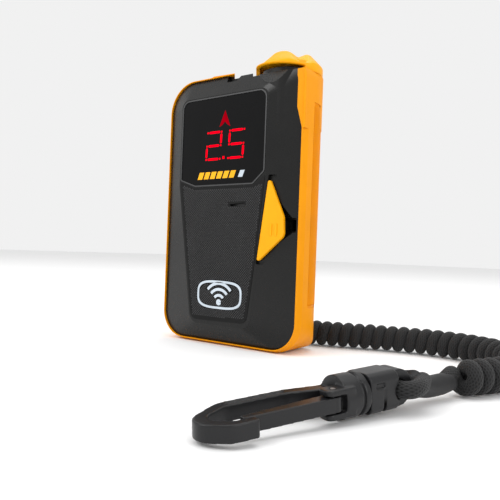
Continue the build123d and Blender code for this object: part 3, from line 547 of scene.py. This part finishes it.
# ---- Plain marks under the display ---------------------------------------
MARK_SLANT = 1.1
MARK_FRONT = WINDOW_FRONT - 0.02
BAR_COUNT, BAR_PITCH, BAR_RISE = 6, 3.3, 0.02
BAR_X, BAR_Z, BAR_WIDE, BAR_TALL = -13.9, 68.1, 2.5, 2.9
LAST_X, LAST_Z, LAST_WIDE, LAST_TALL = 7.2, 68.3, 2.2, 2.7  # the grey block after the bars

bars = [slanted(BAR_X + BAR_PITCH * k, BAR_Z + BAR_RISE * k, BAR_WIDE, BAR_TALL) for k in range(BAR_COUNT)]
name_mark = plate_mesh("name_mark", bars, MARK_FRONT, LIT_BACK)
last_block = slanted(LAST_X, LAST_Z, LAST_WIDE, LAST_TALL)
model_mark = plate_mesh("model_mark", [last_block], MARK_FRONT, LIT_BACK)

# ---- Emblem on the grip panel: a band with radio arcs --------------------
PANEL_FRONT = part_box("grip_panel")[0][1] / MM
EMBLEM_X, EMBLEM_Z = 0.1, 21.0
EMBLEM_FRONT = PANEL_FRONT - 0.14
EMBLEM_BACK = PANEL_FRONT + 0.1
BAND_HALF_X, BAND_HALF_Z, BAND_WIDE = 11.4, 5.7, 0.9
BAND_CORNER = 3.4  # exponent of the band's rounded outline
BAND_QUADS = 72
ARC_Z = EMBLEM_Z - 3.0  # centre of the arcs
ARC_RADII = (3.4, 5.8, 8.2)
ARC_WIDE = 1.15
ARC_FROM, ARC_TO = 40, 140  # degrees
DOT_R, DOT_RIM = 1.25, 1.2  # the dot is a nearly closed ring, almost as wide as its radius


def on_band(turn, inset):
    """Point of the band's rounded outline, moved inwards by inset."""
    cosine, sine, power = math.cos(turn), math.sin(turn), 2 / BAND_CORNER
    x = math.copysign(abs(cosine) ** power, cosine) * (BAND_HALF_X - inset)
    z = math.copysign(abs(sine) ** power, sine) * (BAND_HALF_Z - inset)
    return EMBLEM_X + x, EMBLEM_Z + z


def band_outlines():
    """The band as a chain of short quads."""
    quads = []
    for k in range(BAND_QUADS):
        t0, t1 = math.tau * k / BAND_QUADS, math.tau * (k + 1) / BAND_QUADS
        quads.append([on_band(t0, 0), on_band(t1, 0), on_band(t1, BAND_WIDE), on_band(t0, BAND_WIDE)])
    return quads


def arc_outline(radius, width, start, end, count=14):
    """Arc round the arcs' centre, between two angles in degrees."""
    turns = [math.radians(start + (end - start) * k / count) for k in range(count + 1)]
    outer, inner = ([(EMBLEM_X + r * math.cos(t), ARC_Z + r * math.sin(t)) for t in turns]
                    for r in (radius, radius - width))
    return outer + inner[::-1]


arcs = [arc_outline(radius, ARC_WIDE, ARC_FROM, ARC_TO) for radius in ARC_RADII]
arcs.append(arc_outline(DOT_R, DOT_RIM, 0, 350, 20))
emblem = plate_mesh("emblem", arcs, EMBLEM_FRONT, EMBLEM_BACK)
emblem_ring = plate_mesh("emblem_ring", band_outlines(), EMBLEM_FRONT, EMBLEM_BACK)

# ---- Grip panel: raised diamond pips -------------------------------------
PANEL_SIDES = [(-14.2, 11.0), (13.2, 11.6), (16.8, 33.5), (20.0, 66.8), (-22.6, 66.9)]
PANEL_TOP = 64.7  # middle stretch of the panel's upper edge
PANEL_TOP_HALF = 15.1
PANEL_TOP_RISE = 0.3  # slope of the upper edge beyond the middle stretch
LATTICE_BOTTOM, LATTICE_TOP, LATTICE_COLUMNS = 10, 68, 24
SLOT_X, SLOT_Z = (3.0, 11.9), (56.2, 58.6)  # kept clear round the sound slot
PIP_MARGIN = 0.7
PIP_PITCH = 1.05
PIP_FOOT, PIP_TIP = 0.40, 0.16  # half widths
PIP_SINK, PIP_TALL = 0.02, 0.22
DIAMOND = ((-1, 0), (0, -1), (1, 0), (0, 1))
BAND_CLEAR_OUT, BAND_CLEAR_IN = 0.5, 1.3
ARC_CLEAR_OUT, ARC_CLEAR_IN = 0.45, 1.6
ARC_CLEAR_FROM, ARC_CLEAR_TO = 35, 145  # degrees
DOT_CLEAR = 1.7


def on_panel(x, z):
    """Whether a pip at this point stays on the panel: its straight sides and its notched top."""
    for (x0, z0), (x1, z1) in zip(PANEL_SIDES, PANEL_SIDES[1:] + PANEL_SIDES[:1]):
        edge = Vector((x1 - x0, z1 - z0))
        if edge.x * (z - z0) - edge.y * (x - x0) < PIP_MARGIN * edge.length:
            return False
    return z < PANEL_TOP - PIP_MARGIN + PANEL_TOP_RISE * max(abs(x) - PANEL_TOP_HALF, 0)


def in_slot(x, z):
    return SLOT_X[0] < x < SLOT_X[1] and SLOT_Z[0] < z < SLOT_Z[1]


def within_band(x, z, grow):
    """Whether a point is inside the band's outline, grown by this much."""
    share_x = abs(x - EMBLEM_X) / (BAND_HALF_X + grow)
    share_z = abs(z - EMBLEM_Z) / (BAND_HALF_Z + grow)
    return share_x ** BAND_CORNER + share_z ** BAND_CORNER < 1


def in_emblem(x, z):
    """Whether a pip would stand in the band, an arc or the dot."""
    reach = math.hypot(x - EMBLEM_X, z - ARC_Z)
    turn = math.degrees(math.atan2(z - ARC_Z, x - EMBLEM_X))
    on_arc = ARC_CLEAR_FROM < turn < ARC_CLEAR_TO and any(
        radius - ARC_CLEAR_IN < reach < radius + ARC_CLEAR_OUT for radius in ARC_RADII)
    in_band = within_band(x, z, BAND_CLEAR_OUT) and not within_band(x, z, -BAND_CLEAR_IN)
    return on_arc or reach < DOT_CLEAR or in_band


def add_pip(verts, faces, x, z):
    """Small diamond stud that narrows to a flat tip."""
    base = len(verts)
    for half, y in ((PIP_FOOT, PANEL_FRONT + PIP_SINK), (PIP_TIP, PANEL_FRONT - PIP_TALL)):
        verts.extend(Vector((x + dx * half, y, z + dz * half)) * MM for dx, dz in DIAMOND)
    faces.append(tuple(range(base + 4, base + 8)))
    faces.append(tuple(reversed(range(base, base + 4))))
    for k in range(4):
        after = (k + 1) % 4
        faces.append((base + k, base + after, base + 4 + after, base + 4 + k))


def panel_pips():
    """Staggered rows of pips over the panel."""
    verts, faces = [], []
    for row in range(int((LATTICE_TOP - LATTICE_BOTTOM) / (PIP_PITCH / 2))):
        z = LATTICE_BOTTOM + row * PIP_PITCH / 2
        for column in range(-LATTICE_COLUMNS, LATTICE_COLUMNS):
            x = column * PIP_PITCH + (row % 2) * PIP_PITCH / 2
            if on_panel(x, z) and not in_slot(x, z) and not in_emblem(x, z):
                add_pip(verts, faces, x, z)
    return new_mesh_object("panel_pips", verts, faces)


pips = panel_pips()

# ---- Ribbed grip strips over the rounded rear corners --------------------
BUMPER_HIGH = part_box("side_bumper")[1]
HALF_WIDTH = BUMPER_HIGH[0] / MM
CORNER_R = 15.0
CORNER_X = HALF_WIDTH - CORNER_R
CORNER_Y = BUMPER_HIGH[1] / MM - CORNER_R
RIB_PITCH = 0.8
RIB_RISE = math.tan(math.radians(42))  # climb of a rib for each step towards the back
RIB_PROFILE = ((-0.36, -0.5), (-0.14, -0.02), (0.14, -0.02), (0.36, -0.5))  # up, and out of the surface
RIB_STEPS = 10
RIB_END = 0.4  # from the ribs to the strip's ends
RIB_SIDE = 0.3
STRIP_OUT, STRIP_IN = -0.42, -0.68  # faces of the strip under the ribs, from the bumper's surface
STRIP_STEPS = 16


def on_corner(side, y, out, z):
    """Point of the bumper's side at depth y and height z, raised by out."""
    if y <= CORNER_Y:
        return Vector((side * (HALF_WIDTH + out), y, z)) * MM
    turn = math.asin((y - CORNER_Y) / CORNER_R)
    reach = CORNER_R + out
    return Vector((side * (CORNER_X + reach * math.cos(turn)), CORNER_Y + reach * math.sin(turn), z)) * MM


def add_bar(verts, faces, sections):
    """Closed bar through sections of four corners each."""
    start = len(verts)
    for section in sections:
        verts.extend(section)
    for k in range(len(sections) - 1):
        for corner in range(4):
            a, b = start + k * 4 + corner, start + k * 4 + (corner + 1) % 4
            faces.append((a, b, b + 4, a + 4))
    last = len(verts) - 4
    faces.append(tuple(reversed(range(start, start + 4))))
    faces.append(tuple(range(last, last + 4)))


def rib_strip(name, node, side):
    """Strip with fine slanting ribs, side is 1 on the right and -1 on the left."""
    low, high = (Vector(corner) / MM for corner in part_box(node))
    bottom, top = low.z + RIB_END, high.z - RIB_END
    front, back = low.y + RIB_SIDE, high.y - RIB_SIDE
    depths = [front + (back - front) * k / RIB_STEPS for k in range(RIB_STEPS + 1)]
    verts, faces = [], []
    z = bottom - (back - front) * RIB_RISE
    while z < top:
        rib = [(y, z + (y - front) * RIB_RISE) for y in depths]
        rib = [(y, middle) for y, middle in rib if bottom + RIB_SIDE <= middle <= top - RIB_SIDE]
        if len(rib) > 1:
            add_bar(verts, faces, [[on_corner(side, y, out, middle + up) for up, out in RIB_PROFILE]
                                   for y, middle in rib])
        z += RIB_PITCH
    corners = ((STRIP_IN, low.z), (STRIP_OUT, low.z), (STRIP_OUT, high.z), (STRIP_IN, high.z))
    depths = [low.y + (high.y - low.y) * k / STRIP_STEPS for k in range(STRIP_STEPS + 1)]
    add_bar(verts, faces, [[on_corner(side, y, out, height) for out, height in corners] for y in depths])
    made = new_mesh_object(name, verts, faces)
    face_outwards(made)
    return made


right_ribs = rib_strip("right_ribs", "right_grip_strip", 1)
left_ribs = rib_strip("left_ribs", "left_grip_strip", -1)

# ---- Power knob ----------------------------------------------------------
KNOB_LOW, KNOB_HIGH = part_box("power_knob")
KNOB_X = (KNOB_LOW[0] + KNOB_HIGH[0]) / 2 / MM
KNOB_Y = (KNOB_LOW[1] + KNOB_HIGH[1]) / 2 / MM
KNOB_R = (KNOB_HIGH[0] - KNOB_LOW[0]) / 2 / MM
KNOB_BASE, KNOB_TOP = KNOB_LOW[2] / MM, KNOB_HIGH[2] / MM
KNOB_SIDES = 288
KNOB_CREASE = math.radians(50)  # sharper edges than this stay crisp
VALLEYS = [math.radians(-34 + 90 * k) for k in range(4)]
VALLEY_DEEP, VALLEY_HALF = 2.3, 2.9
VALLEY_START, VALLEY_RUN = 4.2, 3.2  # radius where a valley starts, and how far it takes to deepen
VALLEY_FULL_UP = 6.0  # height above the base from which a valley has its full depth
SHOULDER_UP = 2.6  # no valley cuts lower than this above the base
WINDOW_FROM, WINDOW_TO = math.radians(-156), math.radians(-30)
WINDOW_UP, WINDOW_SLOPE = 3.5, 1.9
RAMP_IN, RAMP_OUT = 0.12, 0.02  # radians
BORE_R, BORE_UP = 11.9, 4.0
EDGE_ROUND = 0.25
EDGE_TO_CROWN = 0.5
SKIRT = ((BORE_R, 0), (BORE_R + 0.3, 0), (KNOB_R - EDGE_ROUND, 0), (KNOB_R, EDGE_ROUND))
CROWN = (
    (KNOB_R, KNOB_BASE + 2.9), (KNOB_R - 0.05, KNOB_BASE + 3.25), (KNOB_R - 0.22, KNOB_BASE + 3.6),
    (12.4, KNOB_BASE + 4.45), (11.5, KNOB_BASE + 5.4), (10.6, KNOB_BASE + 6.35), (9.8, KNOB_BASE + 7.2),
    (9.2, KNOB_BASE + 7.85), (8.6, KNOB_TOP - 0.28), (8.0, KNOB_TOP - 0.07), (7.3, KNOB_TOP),
    (6.7, KNOB_TOP - 0.08), (6.2, KNOB_TOP - 0.35), (5.8, KNOB_TOP - 0.7), (5.0, KNOB_TOP - 0.85),
    (3.0, KNOB_TOP - 0.9), (1.2, KNOB_TOP - 0.9),
)


def knob_drop(turn, radius):
    """How far a finger valley lowers the knob's upper surface."""
    nearest = min(abs(math.remainder(turn - v, math.tau)) for v in VALLEYS)
    depth = VALLEY_DEEP * math.exp(-(nearest * radius / VALLEY_HALF) ** 2)
    return depth * min(max((radius - VALLEY_START) / VALLEY_RUN, 0), 1)


def skirt_bottom(turn):
    """Lower edge of the skirt: a sloping window towards the front, with short ramps."""
    if not WINDOW_FROM < turn < WINDOW_TO:
        return KNOB_BASE
    share = (turn - WINDOW_FROM) / (WINDOW_TO - WINDOW_FROM)
    ramp_in = min((turn - WINDOW_FROM) / RAMP_IN, 1)
    ramp_out = min((WINDOW_TO - turn) / RAMP_OUT, 1)
    return KNOB_BASE + (WINDOW_UP - WINDOW_SLOPE * share) * min(ramp_in, ramp_out)


def crown_height(radius, z, turn):
    """Height of the knob's upper surface, never below its skirt's lower edge."""
    share = min((z - KNOB_BASE) / VALLEY_FULL_UP, 1)
    low = max(z - knob_drop(turn, radius) * share, KNOB_BASE + SHOULDER_UP)
    return max(low, skirt_bottom(turn) + EDGE_TO_CROWN)


def knob_mesh():
    """Knob whose rings run from the bore's roof round the skirt's edge and over the top."""
    turns = [math.remainder(math.tau * k / KNOB_SIDES, math.tau) for k in range(KNOB_SIDES)]
    rings = [(BORE_R, [KNOB_BASE + BORE_UP for _ in turns])]
    rings += [(radius, [skirt_bottom(turn) + up for turn in turns]) for radius, up in SKIRT]
    rings += [(radius, [crown_height(radius, z, turn) for turn in turns]) for radius, z in CROWN]
    verts, faces = [], []
    for radius, heights in rings:
        verts.extend(Vector((KNOB_X + radius * math.cos(turn), KNOB_Y + radius * math.sin(turn), z)) * MM
                     for turn, z in zip(turns, heights))
    for ring in range(len(rings) - 1):
        for k in range(KNOB_SIDES):
            a, b = ring * KNOB_SIDES + k, ring * KNOB_SIDES + (k + 1) % KNOB_SIDES
            faces.append((a, b, b + KNOB_SIDES, a + KNOB_SIDES))
    faces.append(tuple(range(len(verts) - KNOB_SIDES, len(verts))))
    faces.append(tuple(reversed(range(KNOB_SIDES))))
    made = new_mesh_object("knob_cap", verts, faces)
    smooth_faces(made)
    made.data.set_sharp_from_angle(angle=KNOB_CREASE)
    return made


knob = knob_mesh()

# ---- Clip with rounded edges ---------------------------------------------
def softened(node_name, voxel, rounds, keep):
    """Copy of a CAD node's mesh whose edges are rounded over.

    The mesh is rebuilt from voxels of this size in millimetres, smoothed over a number of rounds, and
    thinned to the share of its faces that is kept.
    """
    node = nodes[node_name]
    made = bpy.data.objects.new("soft_" + node_name, node.data.copy())
    bpy.context.collection.objects.link(made)
    made.matrix_world = node.matrix_world.copy()
    remesh = made.modifiers.new("remesh", "REMESH")
    remesh.mode = "VOXEL"
    remesh.voxel_size = voxel * MM
    remesh.use_smooth_shade = True
    smooth = made.modifiers.new("smooth", "SMOOTH")
    smooth.factor = 0.5
    smooth.iterations = rounds
    lighter = made.modifiers.new("lighter", "DECIMATE")
    lighter.ratio = keep
    bpy.context.view_layer.update()
    evaluated = made.evaluated_get(bpy.context.evaluated_depsgraph_get())
    final = bpy.data.meshes.new_from_object(evaluated)
    made.modifiers.clear()
    made.data = final
    smooth_faces(made)
    return made


soft_hook = softened("clip_hook", 0.22, 10, 0.35)
soft_swivel = softened("clip_swivel", 0.2, 4, 0.4)
soft_gate = softened("clip_gate", 0.2, 6, 0.4)

# ---- Bodies, slots and materials of the pieces ---------------------------
LIT_SCALE = 400


def glowing(name, color, strength):
    """Lit segment: red light with a slightly uneven brightness."""
    made, tree, shader = node_material(name)
    tone = noise(tree, LIT_SCALE, 2)
    lit_color = ramp(tree, tone, scaled(color, 0.8), color)
    tree.links.new(lit_color, shader.inputs["Emission Color"])
    shader.inputs["Emission Strength"].default_value = strength
    shader.inputs["Base Color"].default_value = (0.02, 0.0, 0.0, 1)
    shader.inputs["Roughness"].default_value = 0.6
    shader.inputs["Specular IOR Level"].default_value = 0.0
    return made


LED = glowing("led_lit", (1.0, 0.0, 0.012), 1.6)
LED_DIM = glowing("led_arrow", (0.42, 0.0, 0.008), 1.1)
MARK_YELLOW = moulded("mark_yellow", (0.85, 0.40, 0.0), 0.5, grain=0)
MARK_GREY = moulded("mark_grey", (0.50, 0.56, 0.62), 0.5, grain=0)

additions = [
    (lit, "root", "led_red", LED), (lit_arrow, "root", "led_red", LED_DIM),
    (name_mark, "root", "orange_plastic", MARK_YELLOW), (model_mark, "root", "anchor_grey", MARK_GREY),
    (emblem, "root", "anchor_grey", MARK_GREY), (emblem_ring, "root", "anchor_grey", MARK_GREY),
    (pips, "root", "panel_rubber", PIP_PAINTED_HIGHLIGHT),
    (right_ribs, "root", "orange_rubber", ORANGE_RUBBER), (left_ribs, "root", "orange_rubber", ORANGE_RUBBER),
    (knob, "knob", "orange_plastic", ORANGE),
    (soft_hook, "hook", "clip_plastic", CLIP), (soft_swivel, "root", "clip_plastic", CLIP),
    (soft_gate, "gate", "clip_plastic", CLIP),
]
for piece, body, slot, material in additions:
    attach(piece, body)
    paint(piece, material)
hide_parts("power_knob")
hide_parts("clip_hook")
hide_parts("clip_swivel")
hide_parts("clip_gate")
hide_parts("right_grip_strip")
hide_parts("left_grip_strip")

# ---- Stage ---------------------------------------------------------------
FLOOR_REACH = 3.0


def stage_floor():
    """Plain pale floor that the object stands on."""
    near, far = -FLOOR_REACH, FLOOR_REACH
    verts = [(near, near, 0), (far, near, 0), (far, far, 0), (near, far, 0)]
    floor = new_mesh_object("floor", verts, [(0, 1, 2, 3)])
    made, _, shader = node_material("pale_floor")
    shader.inputs["Base Color"].default_value = (0.86, 0.86, 0.86, 1)
    shader.inputs["Roughness"].default_value = 0.75
    paint(floor, made)


stage_floor()


def area_light(name, at, towards, size, power):
    """Soft rectangular light at one point, aimed at another."""
    data = bpy.data.lights.new(name, "AREA")
    data.shape = "RECTANGLE"
    data.size, data.size_y = size
    data.energy = power
    made = bpy.data.objects.new(name, data)
    bpy.context.collection.objects.link(made)
    made.location = at
    made.rotation_euler = (Vector(towards) - Vector(at)).to_track_quat("-Z", "Y").to_euler()


AIM = (0.02, 0, 0.05)
area_light("key", (-0.35, -0.75, 0.75), AIM, (0.6, 0.5), 5.5)
area_light("right_fill", (0.85, -0.25, 0.45), AIM, (0.5, 0.6), 3)
area_light("top", (0.05, 0.15, 1.0), AIM, (0.9, 0.9), 3.5)

world = bpy.data.worlds.new("studio")
bpy.context.scene.world = world
world.use_nodes = True
world.node_tree.nodes["Background"].inputs["Color"].default_value = (1, 1, 1, 1)
world.node_tree.nodes["Background"].inputs["Strength"].default_value = 0.88

bpy.context.view_layer.update()
